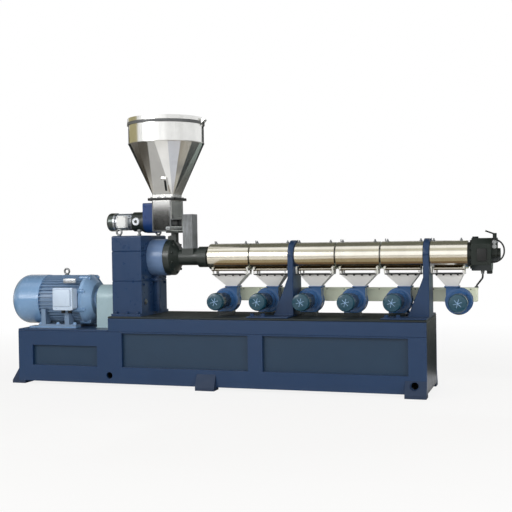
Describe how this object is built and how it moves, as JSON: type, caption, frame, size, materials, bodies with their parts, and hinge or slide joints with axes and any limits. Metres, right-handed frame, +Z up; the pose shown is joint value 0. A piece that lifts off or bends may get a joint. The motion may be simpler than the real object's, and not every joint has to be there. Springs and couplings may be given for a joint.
{
  "type": "food extruder",
  "caption": "Single-screw food extruder: hopper and feeder over a heated, air-cooled barrel, with gearbox, drive motor and die head on a welded base.",
  "frame": {"origin": "on the floor under the middle of the machine's length and width", "axes": "+X from the drive motor to the die, +Y from the operating side to the rear, +Z up"},
  "size_m": [4.263, 0.736, 2.2993],
  "materials": {
    "base_paint": "semi-gloss navy machine paint",
    "motor_paint": "gloss steel-blue machine paint",
    "terminal_paint": "pale grey paint",
    "guard_paint": "pale blue-grey paint",
    "machined_steel": "machined steel",
    "gearbox_paint": "semi-gloss blue machine paint",
    "black_casting": "black oiled casting",
    "stainless_sheet": "brushed stainless sheet",
    "stack_sheet": "matt grey sheet",
    "sight_glass": "dark window glass",
    "motor_casting": "die-cast aluminium",
    "blower_paint": "gloss blue paint",
    "hood_paint": "white-grey paint",
    "duct_paint": "pale green-grey paint",
    "lead_rubber": "black rubber"
  },
  "bodies": {
    "machine": {"air_hoods": "hood_paint", "anchor_feet": "base_paint", "barrel_deck": "base_paint", "barrel_flange": "black_casting", "barrel_supports": "base_paint", "barrel_tube": "machined_steel", "base_panels": "base_paint", "blower_motors": "blower_paint", "blower_scrolls": "blower_paint", "chain_guard": "gearbox_paint", "clamp_ring": "black_casting", "clamp_screw": "black_casting", "coupling_guard": "guard_paint", "die_block": "black_casting", "die_nozzle": "black_casting", "drive_coupling": "machined_steel", "duct_brackets": "duct_paint", "end_plates": "base_paint", "feed_housing": "black_casting", "feeder_end_plate": "stainless_sheet", "feeder_motor": "motor_casting", "feeder_reducer": "black_casting", "feeder_terminal_box": "terminal_paint", "feeder_trough": "stainless_sheet", "gearbox_cover": "gearbox_paint", "gearbox_lower_case": "gearbox_paint", "gearbox_middle_case": "gearbox_paint", "head_conduit": "lead_rubber", "heater_covers": "stainless_sheet", "heater_lead": "lead_rubber", "hopper_cone": "stainless_sheet", "hopper_cylinder": "stainless_sheet", "lifting_eyes": "machined_steel", "motor_body": "motor_paint", "motor_deck": "base_paint", "motor_end_shield": "motor_paint", "motor_fan_cowl": "motor_paint", "motor_soles": "machined_steel", "motor_terminal_box": "terminal_paint", "side_frames": "base_paint", "sight_glass": "sight_glass", "support_caps": "base_paint", "thrust_housing": "gearbox_paint", "upper_rails": "base_paint", "vent_stack": "stack_sheet", "wiring_duct": "duct_paint"},
    "lid": {"hopper_lid": "stainless_sheet"}
  },
  "joints": [
    {"name": "lid_swing", "type": "hinge", "parent": "machine", "child": "lid", "pos_m": [-0.3205, 0, 2.243], "axis": [0, 1, 0], "range_deg": [0, 105]}
  ]
}
